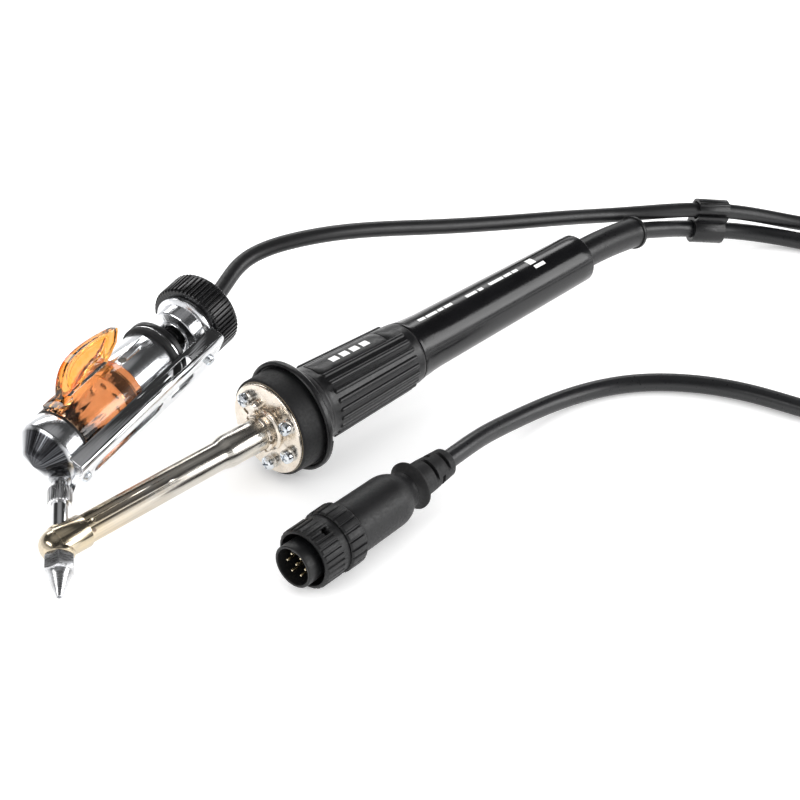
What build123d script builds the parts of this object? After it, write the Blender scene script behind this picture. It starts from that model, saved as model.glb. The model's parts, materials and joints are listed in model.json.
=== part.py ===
from build123d import *
import os
from math import asin, cos, degrees, radians, sin

# Heated vacuum desoldering iron with its solder collector, hose, lead and plug.
# Millimetres and degrees. +X runs along the handle from the nozzle end to the lead, +Z is up,
# and the drawing's x = 0 is the front face of the heater plate.
#
# Each sub-assembly is drawn about its own local Z axis and then placed:
#   handle     local z = handle axis towards the lead,  local x = the tool's upper side
#   nozzle     local z = from the nozzle's tip to the collector
#   collector  local z = collector axis towards the knob, local x = away from the barrel
#   plug       local z = plug axis towards the lead
# Everything is finally moved so that the origin is the middle of the footprint, on the bench.

# ---------------------------------------------------------------- placing the sub-assemblies
AXIS_HEIGHT = 17.5        # handle axis above the bench
TOOL_ROLL = 63.9          # the tool leans this far over about the handle axis
NOZZLE_LEAN = 52.7        # suction tube against the handle axis, in the tool's plane
COLLECTOR_LEAN = 14.0     # collector against the handle axis, in the tool's plane
HEAD_X = -76.9            # where the suction tube crosses the handle axis
TUBE_REACH = 33.8         # from that crossing to the collector's axis
PLUG_X = -32.5
PLUG_Y = -45.7
PLUG_TURN = 3.9
FOOTPRINT = Pos(-83.33, 40.27, 0.30)

# ---------------------------------------------------------------- general fits
LOOSE = 0.12              # clearance round the soft lead and hose
SLIP = 0.04               # radial clearance of a part that turns or slides
GAP = 0.05                # clearance between parts that are glued, screwed or clipped

# ---------------------------------------------------------------- handle
PLATE_R = 14.4
PLATE_THICK = 1.2
SHIELD_THICK = 0.7
COLLAR_R = 15.45
COLLAR_END = 9.3
GUARD_R = 17.5
GUARD_RIM = 1.8
GUARD_HUB_R = 13.0
GRIP_START = 16.0
GRIP_END = 55.4
GRIP_TAIL = 57.0
GRIP_FRONT_R = 11.6
GRIP_REAR_R = 10.4
RIB_PITCH = 15
RIB_R = 0.85
LABEL_ANGLE = 58          # middle of the smooth label panel, from the tool's upper side
LABEL_HALF_ANGLE = 22
FLARE_R = 10.0            # handle tube's bell just behind the grip
HANDLE_FRONT_R = 9.2
HANDLE_REAR_R = 8.1
HANDLE_END = 137.9
HANDLE_WALL = 1.6
SCREW_CIRCLE_R = 10.8
SCREW_ANGLES = (14.5, 124, 177, -125)
SCREW_HEAD_R = 2.2
SCREW_HEAD = 2.9
SCREW_SHANK_R = 1.4
SCREW_LENGTH = 6.5

# ---------------------------------------------------------------- barrel and head
BARREL_R = 4.35
BARREL_WIDE_R = 5.1
BARREL_WALL = 0.45
BARREL_TAPER = (-19.5, -16.0)
BARREL_END = 8.5
HEAD_SLEEVE_R = 4.95
HEAD_SLEEVE_END = -68.8
HEAD_BALL_R = 4.9
NOZZLE_REACH = 17.0
HEX_ACROSS = 8.0
SUCTION_R = 2.4
SUCTION_BORE_R = 1.2

# ---------------------------------------------------------------- collector
CAP_R = 10.2
GLASS_R = 9.2
GLASS_WALL = 1.3
GLASS_END = 24.4
SLEEVE_R = 9.5
SLEEVE_END = 42.0
GUARD_TUBE_R = 10.15
GUARD_TUBE_END = 26.6
FIN_ANGLE = 51
FIN_THICK = 2.6
FIN_SET_BACK = 2.2        # the thumb tab stands this far behind its strap
SEAL_R = 10.4
KNOB_R = 12.4
KNOB_START = 60.9
KNOB_END = 70.8
KNOB_RIBS = 54
SCREW_PITCH = 1.5         # the knob's thread moves the plunger this far per turn
PLUNGER_TRAVEL = 2.25
PIN_HEIGHT = 62.2
CHANNEL_HALF = 7.9        # the steel channel that carries the collector
CHANNEL_DEPTH = 12.8
CHANNEL_SHEET = 0.7
CHANNEL_SPAN = (-7.6, 59.8)
SCREW_PLACES = (-3.7, 55.5)

# ---------------------------------------------------------------- leads
CABLE_R = 2.85
HOSE_R = 2.5
HOSE_BORE_R = 1.5
HOSE_CUFF = (245, -50, 3.5)
CUFF_R = 3.4
CUFF_LENGTH = 20.0
CUFF_SOCKET = 8.0
CUFF_BORE_R = 1.75
BOOT_R = 5.0
BOOT_START = 134.0
BEND_START = 139.0
DROOP_R = 150.0
DROOP_ANGLE = 11.0
CABLE_START = 124.0
END_PULL = (1.0, 1.0)     # pull of the straight ends on a curved stretch

# ---------------------------------------------------------------- plug
SHELL_R = 6.6
SHELL_WALL = 0.9
NOSE_LENGTH = 4.1
RING_R = 9.4
RING_SPAN = (4.3, 14.3)
REAR_RING_R = 9.8
REAR_RING_END = 21.0
BACKSHELL_R = 8.3
BACKSHELL_END = 41.5
WAIST_R = 5.5
PLUG_END = 65.5
PIN_R = 0.5
PIN_CIRCLE_R = 3.4


# ---------------------------------------------------------------- frames
TOOL_UP = Vector(0, sin(radians(TOOL_ROLL)), cos(radians(TOOL_ROLL)))
FORWARD = Vector(1, 0, 0)
SIDE = FORWARD.cross(TOOL_UP)
TO_COLLECTOR = FORWARD * cos(radians(NOZZLE_LEAN)) + TOOL_UP * sin(radians(NOZZLE_LEAN))
COLLECTOR_AXIS = FORWARD * cos(radians(COLLECTOR_LEAN)) + TOOL_UP * sin(radians(COLLECTOR_LEAN))
HEAD_POINT = Vector(HEAD_X, 0, AXIS_HEIGHT)
COLLECTOR_POINT = HEAD_POINT + TO_COLLECTOR * TUBE_REACH
AWAY = SIDE.cross(COLLECTOR_AXIS)
CUFF_DIRECTION = Vector(0.6, -0.8, 0)

HANDLE = Plane(origin=(0, 0, AXIS_HEIGHT), x_dir=TOOL_UP, z_dir=FORWARD).location
NOZZLE = Plane(origin=HEAD_POINT, x_dir=SIDE, z_dir=TO_COLLECTOR).location
COLLECTOR = Plane(origin=COLLECTOR_POINT, x_dir=AWAY, z_dir=COLLECTOR_AXIS).location
PLUG_DIRECTION = Vector(cos(radians(PLUG_TURN)), sin(radians(PLUG_TURN)), 0)
PLUG = Plane(origin=(PLUG_X, PLUG_Y, REAR_RING_R), x_dir=(0, 0, 1), z_dir=PLUG_DIRECTION).location


# ---------------------------------------------------------------- shape helpers
def turned(*outline):
    """Solid turned about local Z from its half outline of (radius, height) corners."""
    return revolve(Plane.XZ * make_face(Polyline(*outline, close=True)), Axis.Z)


def tube(outer, inner, low, high):
    return turned((inner, low), (outer, low), (outer, high), (inner, high))


def rod(radius, low, high):
    return turned((0, low), (radius, low), (radius, high), (0, high))


def block(x_span, y_span, z_span):
    low = Vector(x_span[0], y_span[0], z_span[0])
    high = Vector(x_span[1], y_span[1], z_span[1])
    size = high - low
    return Pos(*((low + high) * 0.5)) * Box(size.X, size.Y, size.Z)


def at(radius, angle, height=0):
    """Place on a circle about local Z, with local X pointing outwards."""
    return Rot(0, 0, angle) * Pos(radius, 0, height)


def ribbed(outer, root, count, land, low, high):
    """Blank with straight ribs; land is the rib's share of the pitch."""
    pitch = 360 / count
    flank = pitch * (1 - land) / 4
    corners = []
    for rib in range(count):
        start = rib * pitch
        for radius, turn in ((outer, 0), (outer, pitch * land), (root, pitch * land + flank),
                             (root, pitch - flank)):
            angle = radians(start + turn)
            corners.append((radius * cos(angle), radius * sin(angle)))
    return Pos(0, 0, low) * extrude(make_face(Polyline(*corners, close=True)), high - low)


def along(place, height):
    """Point on a placed sub-assembly's axis."""
    return (place * Pos(0, 0, height)).position


def group(solids):
    """Separate solids that share one node."""
    return Compound([solid for item in solids for solid in item.solids()])


# ---------------------------------------------------------------- paths of the lead and the hose
def arc_chain(curve, pairs):
    """The curve as pairs of tangent circular arcs, which give the lead plain bent-tube surfaces."""
    edges = []
    for step in range(pairs):
        first, last = step / pairs, (step + 1) / pairs
        start, finish = curve @ first, curve @ last
        leaving, arriving = curve % first, curve % last
        chord = finish - start
        along_both = chord.dot(leaving + arriving)
        turn = 2 * (1 - leaving.dot(arriving))
        reach = chord.dot(chord) / (2 * along_both)
        if turn > 1e-6:
            reach = ((along_both ** 2 + turn * chord.dot(chord)) ** 0.5 - along_both) / turn
        middle = (start + finish + (leaving - arriving) * reach) * 0.5
        passing = (finish - arriving * reach) - (start + leaving * reach)
        edges.append(TangentArc(start, middle, tangent=leaving))
        edges.append(TangentArc(middle, finish, tangent=passing))
    return edges


def boot_path():
    """The lead's way out of the handle: straight, then a gentle droop inside the boot."""
    centre = Vector(BEND_START, 0, AXIS_HEIGHT - DROOP_R)

    def on_bend(turn):
        return centre + Vector(sin(radians(turn)), 0, cos(radians(turn))) * DROOP_R

    straight = Line((BOOT_START, 0, AXIS_HEIGHT), (BEND_START, 0, AXIS_HEIGHT))
    return [straight, ThreePointArc(on_bend(0), on_bend(DROOP_ANGLE / 2), on_bend(DROOP_ANGLE))]


def cable_path():
    """Centre line of the lead: handle, boot, clip, a loop on the bench, plug."""
    boot = boot_path()
    bench = CABLE_R + 0.05
    straight = Line((CABLE_START, 0, AXIS_HEIGHT), (BOOT_START, 0, AXIS_HEIGHT))
    points = [(178, -1.9, 12.3), (189.9, -4.8, 8.9), (195.8, -8.4, 7.6), (201.7, -12.0, 6.3),
              (219, -31, bench), (227, -62, bench), (215, -105, bench), (176, -129, bench), (145, -110, bench),
              (133, -76.8, bench), (110, -46.5, bench), (88, -38.3, 3.6), (66, -37.4, 6.0),
              (50, -39.0, 8.6)]
    mouth = along(PLUG, PLUG_END + 1)
    loop = Spline(boot[-1] @ 1, *points, mouth, tangents=[boot[-1] % 1, PLUG_DIRECTION * -1],
                  tangent_scalars=END_PULL)
    inside = Line(mouth, along(PLUG, PLUG_END - 20))
    return [straight, *boot, *arc_chain(loop, 36), inside]


def hose_path():
    """Centre line of the hose: knob, past the handle, clip, down to the bench."""
    leave = along(COLLECTOR, KNOB_END + 1)
    cuff = Vector(*HOSE_CUFF)
    socket = cuff - CUFF_DIRECTION * (CUFF_SOCKET + 1)
    points = [(33.6, 46.1, 41), (52.4, 41.2, 43), (95.8, 26.6, 35.5), (128.8, 16.9, 28),
              (152.4, 12.4, 21.8), (166.8, 8.8, 18.2), (179, 2.0, 17.1), (191, -5.5, 16.1),
              (202.8, -12.7, 13.6), (213, -18.6, 10.1), (222, -25.1, 6.8), (231, -33, 4.3)]
    run = Spline(leave, *points, socket, tangents=[COLLECTOR_AXIS, CUFF_DIRECTION],
                 tangent_scalars=END_PULL)
    return [Line(along(COLLECTOR, KNOB_END - 3), leave), *arc_chain(run, 24), Line(socket, cuff)]


def bent_bar(edges, radius):
    """Round bar bent along straight and circular edges."""
    pieces = []
    for edge in edges:
        section = Plane(origin=edge @ 0, z_dir=edge % 0) * Circle(radius)
        if edge.geom_type == GeomType.LINE:
            pieces.append(extrude(section, edge.length, dir=edge % 0))
            continue
        spin = (edge @ 0 - edge.arc_center).cross(edge % 0)
        pieces.append(revolve(section, Axis(edge.arc_center, spin), degrees(edge.length / edge.radius)))
    return pieces[0].fuse(*pieces[1:])


# ---------------------------------------------------------------- handle
def front_plate():
    plate = turned((BARREL_WIDE_R + GAP, 0), (PLATE_R - 0.3, 0), (PLATE_R, 0.3), (PLATE_R, PLATE_THICK),
                   (BARREL_WIDE_R + GAP, PLATE_THICK))
    for angle in SCREW_ANGLES:
        plate -= at(SCREW_CIRCLE_R, angle) * rod(SCREW_SHANK_R + GAP, -1, 2)
    vent = Pos(9.0, -2.2, -1) * extrude(SlotOverall(2.2, 1.2), 3)
    return plate - vent


def heat_shield():
    """Thin insulating disc behind the plate."""
    shield = tube(PLATE_R + 0.3, BARREL_WIDE_R + GAP, PLATE_THICK, PLATE_THICK + SHIELD_THICK)
    for angle in SCREW_ANGLES:
        shield -= at(SCREW_CIRCLE_R, angle) * rod(SCREW_SHANK_R + GAP, 0, 3)
    return shield


def pan_screw():
    """Cross-recess pan head screw, head towards -Z, seated at z = 0."""
    head = turned((0, -SCREW_HEAD), (SCREW_HEAD_R * 0.55, -SCREW_HEAD + 0.12),
                  (SCREW_HEAD_R * 0.9, -SCREW_HEAD + 0.6),
                  (SCREW_HEAD_R, -SCREW_HEAD + 1.2), (SCREW_HEAD_R, 0), (0, 0))
    arm = block((-1.35, 1.35), (-0.28, 0.28), (-SCREW_HEAD - 1, -SCREW_HEAD + 1.3))
    head -= arm
    head -= Rot(0, 0, 90) * arm
    return head + rod(SCREW_SHANK_R, 0, SCREW_LENGTH)


def plate_screws():
    return group([at(SCREW_CIRCLE_R, angle) * Rot(0, 0, 3 * angle) * pan_screw()
                  for angle in SCREW_ANGLES])


def barrel_clamp():
    """Slotted clamp bush round the barrel, with a pinch ear to one side."""
    low = -4.0
    bush = turned((BARREL_WIDE_R + GAP, low), (5.7, low), (6.05, low + 0.5), (6.05, low + 1.3),
                  (5.75, low + 1.6),
                  (5.75, -1.0), (6.5, -0.5), (6.5, 0), (BARREL_WIDE_R + GAP, 0))
    for notch in range(8):
        bush -= at(5.2, 20 + 45 * notch, low) * Box(3, 1.1, 4.4)
    ear = at(7.4, 31) * turned((0, -2.2), (1.2, -2.0), (1.9, -1.3), (2.1, 0), (0, 0))
    ear -= rod(BARREL_WIDE_R + GAP, -5, 1)
    return bush + ear


def barrel():
    """Drawn steel tube, narrow in front and wide at the handle."""
    front = HEAD_SLEEVE_END - 3.4
    inner = BARREL_R - BARREL_WALL
    wide_inner = BARREL_WIDE_R - BARREL_WALL
    shell = turned((inner, front), (BARREL_R, front), (BARREL_R, BARREL_TAPER[0]),
                   (BARREL_WIDE_R, BARREL_TAPER[1]),
                   (BARREL_WIDE_R, BARREL_END), (wide_inner, BARREL_END), (wide_inner, BARREL_TAPER[1]),
                   (inner, BARREL_TAPER[0]))
    dimple = at(BARREL_R + 0.75, 96, -66.4) * Sphere(1.15)
    notch = HANDLE.inverse() * NOZZLE * rod(SUCTION_R + 0.3, 0, 12)
    return shell - dimple - notch


def heating_element():
    """Round ceramic heater rod with a steel foot that seats in the head."""
    return turned((0, -70.0), (1.6, -70.0), (2.5, -69.2), (2.5, -14), (1.9, -13.4), (1.9, -10), (0, -10))


def temperature_sensor():
    return at(3.2, 200) * turned((0, -69), (0.5, -68.6), (0.5, -12), (0, -12))


def heater_wires():
    """Four insulated wires from the heater and the sensor to the terminal block."""
    wires = []
    for turn in (45, 135, 225, 315):
        wires.append(at(2.8, turn) * rod(0.55, -9.5, 19.8))
    return group(wires)


def front_collar():
    """Heat-resistant collar that carries the plate; its screws end in blind holes."""
    seat = PLATE_THICK + SHIELD_THICK
    collar = turned((7.0, seat), (PLATE_R + 0.3 + GAP, seat), (PLATE_R + 0.3 + GAP, 0.9),
                    (COLLAR_R - 0.5, 0.9),
                    (COLLAR_R - 0.1, 1.3), (COLLAR_R + 0.15, COLLAR_END), (7.0, COLLAR_END))
    for angle in SCREW_ANGLES:
        collar -= at(SCREW_CIRCLE_R, angle) * rod(SCREW_SHANK_R + GAP, 0, SCREW_LENGTH + 0.3)
    return collar


def hand_guard():
    """Round finger guard with a turned-up rim and a hub in front of the grip."""
    rim = COLLAR_END + 0.05
    guard = turned((8.9, rim), (COLLAR_R + 0.6, rim), (COLLAR_R + 0.9, rim - 0.5),
                   (GUARD_R - 0.5, rim - 0.7),
                   (GUARD_R, rim - 0.2), (GUARD_R, rim + GUARD_RIM - 0.7),
                   (GUARD_R - 0.6, rim + GUARD_RIM),
                   (GUARD_HUB_R + 1.1, rim + GUARD_RIM + 0.4), (GUARD_HUB_R, rim + GUARD_RIM + 1.3),
                   (GRIP_FRONT_R + 0.6, GRIP_START - 0.1), (8.9, GRIP_START - 0.1))
    latch = at(GUARD_R, 152, rim + GUARD_RIM - 0.4) * Box(2.2, 4.2, 1.4)
    return guard - latch


def grip_outline():
    return [(GRIP_FRONT_R + 0.5, GRIP_START), (GRIP_FRONT_R, GRIP_START + 1.6),
            (GRIP_REAR_R, GRIP_END - 2.0), (GRIP_REAR_R - 0.15, GRIP_END), (FLARE_R + 0.15, GRIP_TAIL - 0.5),
            (FLARE_R - 0.2, GRIP_TAIL)]


def grip_sleeve():
    """Ribbed rubber grip with a smooth panel left for a label."""
    bore = 8.9
    step = GRIP_TAIL - 3.6
    outline = grip_outline() + [(HANDLE_FRONT_R + GAP, GRIP_TAIL), (HANDLE_FRONT_R + GAP, step),
                                (bore, step),
                                (bore, GRIP_START)]
    grip = turned(*outline)
    start = GRIP_START + 4.3
    finish = GRIP_END - 2.4
    slope = (GRIP_REAR_R - GRIP_FRONT_R) / (GRIP_END - 2.0 - GRIP_START - 1.6)
    lean = degrees(asin(slope))
    length = finish - start
    for turn in range(0, 360, RIB_PITCH):
        from_label = (turn + 7 - LABEL_ANGLE + 180) % 360 - 180
        if abs(from_label) < LABEL_HALF_ANGLE:
            continue
        height = GRIP_FRONT_R + slope * (start - GRIP_START - 1.6) - RIB_R + 0.55
        rib = rod(RIB_R, 0, length) + Sphere(RIB_R) + Pos(0, 0, length) * Sphere(RIB_R)
        grip += at(height, turn + 7, start) * Rot(0, lean, 0) * rib
    panel_radius = GRIP_FRONT_R + slope * 17
    frame = extrude(RectangleRounded(29, 8.4, 1.6) - RectangleRounded(28.2, 7.6, 1.3), 3, both=True)
    groove = at(panel_radius, LABEL_ANGLE, 33.5) * Rot(0, 90 + lean, 0) * frame
    shell = turned((GRIP_FRONT_R + 2, GRIP_START + 1), (GRIP_FRONT_R - 0.25, GRIP_START + 1),
                   (GRIP_REAR_R - 0.25, GRIP_END), (GRIP_REAR_R + 2, GRIP_END))
    return grip - (groove & shell)


def handle_tube():
    """Long tapered handle shell, open in front and closed round the rear boot."""
    front = 13.0
    neck = 8.85
    step = GRIP_TAIL - 3.5
    end_wall = HANDLE_END - 3.0
    return turned((neck - HANDLE_WALL, front), (neck, front), (neck, step), (HANDLE_FRONT_R, step),
                  (HANDLE_FRONT_R, GRIP_TAIL), (FLARE_R - 0.2, GRIP_TAIL + 0.05), (FLARE_R, GRIP_TAIL + 0.3),
                  (FLARE_R - 0.35, GRIP_TAIL + 2.6), (HANDLE_FRONT_R + 0.12, GRIP_TAIL + 6.5),
                  (HANDLE_FRONT_R - 0.1, GRIP_TAIL + 10), (HANDLE_REAR_R, HANDLE_END - 0.8),
                  (HANDLE_REAR_R - 0.8, HANDLE_END), (BOOT_R + 0.35, HANDLE_END), (BOOT_R + 0.35, end_wall),
                  (HANDLE_REAR_R - HANDLE_WALL, end_wall), (neck - HANDLE_WALL, step))


def terminal_block():
    """Moulded block inside the handle that joins the heater wires to the lead."""
    body = block((-3.6, 3.6), (-5.2, 5.2), (20, 40))
    for side in (-3.2, 3.2):
        for place in (24, 36):
            body -= Pos(3.6, side, place) * Rot(0, 90, 0) * Cylinder(1.3, 1.6)
    return body


def terminal_screws():
    screws = []
    for side in (-3.2, 3.2):
        for place in (24, 36):
            head = rod(1.2, 0, 1.0) - Pos(0, 0, 1.0) * Box(2.6, 0.4, 0.7)
            screws.append(Pos(2.82, side, place) * Rot(0, 90, 0) * head)
    return group(screws)


def lead_wires():
    """Cores of the lead between the terminal block and the cable's cut end."""
    return group([at(1.6, turn) * rod(0.6, 40.05, 123.5) for turn in (30, 150, 270)])


def cable_clamp():
    """Saddle that grips the lead inside the handle."""
    inner = CABLE_R + LOOSE
    body = turned((inner, 125.5), (5.6, 125.5), (5.6, 131.5), (inner, 131.5))
    return body - block((-0.4, 0.4), (-6, 6), (125, 132))


def rear_boot():
    """Bend-protection boot, drooping with the lead, with a bead at its end."""
    path = boot_path()
    boot = bent_bar(path, BOOT_R) - bent_bar(path, CABLE_R + LOOSE)
    tail = Plane(origin=path[-1] @ 1, z_dir=path[-1] % 1).location
    bead = Pos(0, 0, -0.8) * tube(BOOT_R + 0.5, BOOT_R - 0.4, -0.5, 0.5)
    flange = Plane(origin=path[0] @ 0, z_dir=FORWARD).location * tube(6.2, BOOT_R - 0.5, 0, 0.8)
    return boot + tail * bead + flange


# ---------------------------------------------------------------- head, nozzle and suction tube
def heater_head():
    """Cast elbow that joins the barrel, the nozzle and the suction tube."""
    ball_x = HEAD_X - 1.3
    sleeve = HANDLE * (rod(HEAD_SLEEVE_R, ball_x, HEAD_SLEEVE_END) + Pos(0, 0, ball_x) * Sphere(HEAD_BALL_R))
    boss = NOZZLE * turned((0, -4.3), (4.0, -4.3), (4.35, -3.9), (4.35, -2.8), (3.9, -2.2), (3.9, 3.5),
                           (3.4, 4.3), (0, 4.3))
    head = sleeve + boss
    head -= HANDLE * rod(BARREL_R + GAP, HEAD_SLEEVE_END - 3.5, HEAD_SLEEVE_END + 1)
    head -= NOZZLE * rod(7, -12, -4.3)
    head -= NOZZLE * rod(2.6, -6, 0.6)
    head -= NOZZLE * rod(SUCTION_R + 0.02, 0.5, 12)
    return head


def nozzle():
    """Screw-in suction nozzle with a hexagon for the changing tool."""
    hexagon = Pos(0, 0, -9.4) * extrude(RegularPolygon(HEX_ACROSS / 2, 6, major_radius=False), 4.9)
    hexagon &= turned((0, -9.4), (3.9, -9.4), (4.7, -8.9), (4.7, -4.9), (4.2, -4.5), (0, -4.5))
    cone = turned((0, -NOZZLE_REACH), (0.95, -NOZZLE_REACH), (1.1, -NOZZLE_REACH + 0.5), (3.6, -10.0),
                  (3.6, -9.3), (0, -9.3))
    shank = turned((0, -4.6), (2.56, -4.6), (2.56, 0.3), (0, 0.3))
    bore = turned((0, -18), (0.6, -18), (0.6, -13), (1.2, -12), (1.2, 1), (0, 1))
    return Rot(0, 0, -15) * (hexagon + cone + shank) - bore


def suction_tube():
    return tube(SUCTION_R, SUCTION_BORE_R, 0.6, 25.0)


def clamp_nut():
    """Knurled gland nut that seals the suction tube under the collector."""
    body = ribbed(3.55, 3.3, 24, 0.45, 12.5, 17.6) & turned((0, 12.5), (3.2, 12.5), (3.6, 12.9),
                                                            (3.6, 17.2), (3.3, 17.6), (0, 17.6))
    body -= rod(SUCTION_R + SLIP, 12, 18)
    return body


# ---------------------------------------------------------------- collector
def nozzle_in_collector():
    """The suction tube's frame, seen from the collector's frame."""
    return COLLECTOR.inverse() * NOZZLE


def front_cap():
    """Chromed conical cap with a stub for the suction tube and a foot on the channel."""
    cap = turned((0, -12.2), (4.2, -12.2), (4.8, -11.8), (9.9, -6.7), (CAP_R, -6.2), (CAP_R, -0.5),
                 (0, -0.5))
    cap -= turned((0, -3.4), (6.5, -3.4), (GLASS_R, -1.6), (GLASS_R, 0), (0, 0))
    stub = nozzle_in_collector() * turned((0, 19.9), (2.9, 19.9), (3.3, 20.4), (3.3, 21.2), (3.0, 21.6),
                                          (3.0, 26), (0, 26))
    cap += stub
    cap -= nozzle_in_collector() * rod(SUCTION_R + 0.01, 18, 25.0)
    cap -= nozzle_in_collector() * rod(SUCTION_BORE_R, 24, 31.5)
    foot = block((-CHANNEL_DEPTH + CHANNEL_SHEET, -9.5), (-4.0, 4.0), (-6.0, -1.4))
    return cap + foot - Pos(-11.1, 0, SCREW_PLACES[0]) * Rot(0, 90, 0) * Cylinder(0.95, 3.6)


def cap_seal():
    return tube(10.05, 8.3, -0.45, 0.55)


def glass_tube():
    return tube(GLASS_R, GLASS_R - GLASS_WALL, 0.6, GLASS_END)


def baffle_plate():
    """Perforated disc that stops molten solder before the filter."""
    plate = rod(7.75, 20.0, 20.5)
    for turn in range(0, 360, 60):
        plate -= at(4.4, turn) * rod(1.1, 19, 21)
    stem = rod(0.9, 20.5, GLASS_END + 2.55)
    return plate + stem


def filter_sleeve():
    """Polished metal sleeve that holds the filter behind the glass."""
    sleeve = tube(SLEEVE_R, 8.75, GLASS_END + 0.1, SLEEVE_END)
    sleeve -= at(SLEEVE_R, 72, 29.2) * Rot(0, 90, 0) * Cylinder(1.25, 3)
    return sleeve


def filter_pad():
    """Thick felt filter inside the sleeve."""
    return rod(8.7, 27.0, 38.5)


def fin_outline():
    """Thumb tab, as (height along the axis, radius) corners and curves."""
    base = GUARD_TUBE_R - 0.35
    foot = (base, 2.6)
    front = Spline((base + 1.2, 3.1), (base + 6.2, 5.9), (base + 8.3, 8.6), (base + 9.6, 14.4),
                   (base + 9.3, 20.3),
                   (base + 8.3, 26.5), (base + 7.0, 31.6))
    tip = front @ 1
    edges = [Line(foot, front @ 0), front, Line(tip, (base + 6.0, 31.2)),
             Line((base + 6.0, 31.2), (base + 3.4, 29.3)),
             Line((base + 3.4, 29.3), (base, 22.6)), Line((base, 22.6), foot)]
    return make_face(edges)


def fin():
    """Flat thumb tab with a raised rim and a hollow in each side."""
    plate = extrude(Plane.XZ * fin_outline(), FIN_THICK / 2, both=True)
    base = GUARD_TUBE_R
    hollow = Spline((base + 1.9, 7.6), (base + 6.6, 10.2), (base + 7.9, 15.5), (base + 7.4, 22),
                    (base + 6.0, 27.2),
                    (base + 3.6, 23.5), (base + 2.2, 16), periodic=True)
    side = extrude(Plane.XZ * make_face(hollow), 1.0)
    plate -= Pos(0, FIN_THICK / 2 + 0.3, 0) * side
    plate -= Pos(0, -FIN_THICK / 2 + 0.7, 0) * side
    foot = block((GUARD_TUBE_R - 0.5, GUARD_TUBE_R + 0.75), (-3.4, 3.4), (1.6, 7.4))
    return Pos(0, 0, FIN_SET_BACK) * plate + foot


def heat_guard():
    """Clear amber sleeve over the glass, with a thumb tab."""
    inner = SLEEVE_R + SLIP
    body = tube(GUARD_TUBE_R, inner, 0.7, GUARD_TUBE_END) + Rot(0, 0, FIN_ANGLE) * fin()
    return body - rod(inner, -1, 40)


def rear_seal():
    return turned((3.0, 42.05), (SEAL_R - 0.4, 42.05), (SEAL_R, 42.5), (SEAL_R, 43.7),
                  (SEAL_R - 0.3, 44.1), (3.0, 44.1))


def seal_washer():
    return tube(SEAL_R - 0.25, 3.0, 44.1, 44.6)


def seal_plunger():
    """Seal carrier with a hollow threaded shank."""
    disc = turned((0, 44.6), (SEAL_R - 0.2, 44.6), (SEAL_R, 44.9), (SEAL_R, 46.3), (SEAL_R - 0.4, 46.7),
                  (0, 46.7))
    shank = rod(3.5, 46.7, 63.5)
    nose = rod(2.9, 42.3, 44.7)
    plunger = disc + shank + nose
    for turn in range(7):
        plunger -= Pos(0, 0, 47.6 + turn * SCREW_PITCH) * tube(4, 3.1, -0.3, 0.3)
    plunger -= rod(1.6, 40, 64)
    return plunger - Pos(0, 0, PIN_HEIGHT) * Rot(90, 0, 0) * Cylinder(0.81, 20)


def drive_pin():
    """Cross pin through the shank; the knob's thread moves it along the spigot's slots."""
    return Pos(0, 0, PIN_HEIGHT) * Rot(90, 0, 0) * Cylinder(0.8, 2 * 8.2)


def rear_housing():
    """Polished block that guides the plunger and carries the knob."""
    front = 54.0
    body = turned((0, front), (8.1, front), (8.5, front + 0.4), (8.5, 58.6), (9.3, 59.0), (10.0, 59.4),
                  (10.0, 60.8), (0, 60.8))
    boss = turned((0, front - 0.7), (5.3, front - 0.7), (5.5, front - 0.5), (5.5, front + 0.1), (0, front + 0.1))
    body += boss
    body -= turned((0, 40), (4.7, 40), (4.7, front - 0.1), (4.62, front + 0.3), (4.62, 57.2),
                   (3.5 + SLIP, 57.2), (3.5 + SLIP, 62), (0, 62))
    foot = block((-CHANNEL_DEPTH + CHANNEL_SHEET, -7), (-4.6, 4.6), (front, 59.6))
    foot -= rod(8.0, 50, 62)
    foot -= Pos(-10.7, 0, SCREW_PLACES[1]) * Rot(0, 90, 0) * Cylinder(0.95, 4.4)
    spigot = tube(7.0, 3.5 + SLIP, 60.8, 66.5)
    spigot -= block((-0.86, 0.86), (-8, 8), (PIN_HEIGHT - 0.9, PIN_HEIGHT + PLUNGER_TRAVEL + 0.9))
    return body + foot + spigot


def knurled_knob():
    """Ribbed knob that draws the plunger back on its thread."""
    blank = ribbed(KNOB_R, KNOB_R - 0.75, KNOB_RIBS, 0.42, KNOB_START, KNOB_END)
    blank &= turned((0, KNOB_START), (KNOB_R - 0.5, KNOB_START), (KNOB_R + 0.1, KNOB_START + 0.6),
                    (KNOB_R + 0.1, KNOB_END - 1.4), (KNOB_R - 1.5, KNOB_END), (0, KNOB_END))
    blank -= rod(7.0 + SLIP, KNOB_START - 1, 66.55)
    blank -= rod(3.2, 60, 80)
    blank -= rod(8.8, PIN_HEIGHT - 1.0, PIN_HEIGHT + PLUNGER_TRAVEL + 1.0)
    return blank - turned((0, KNOB_END - 1.2), (9.6, KNOB_END - 1.2), (10.2, KNOB_END + 1),
                          (0, KNOB_END + 1))


def hose_nipple():
    """Barbed nipple through the knob, screwed into the housing's spigot."""
    barb = turned((0.9, 65.9), (3.5, 65.9), (3.5, 66.5), (2.6, 66.6), (1.4, 67.3), (1.4, 69.0),
                  (1.47, 69.1), (1.3, 70.4),
                  (1.47, 70.5), (1.3, 71.8), (1.47, 71.9), (1.2, 73.2), (0.9, 73.2))
    return barb


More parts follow.
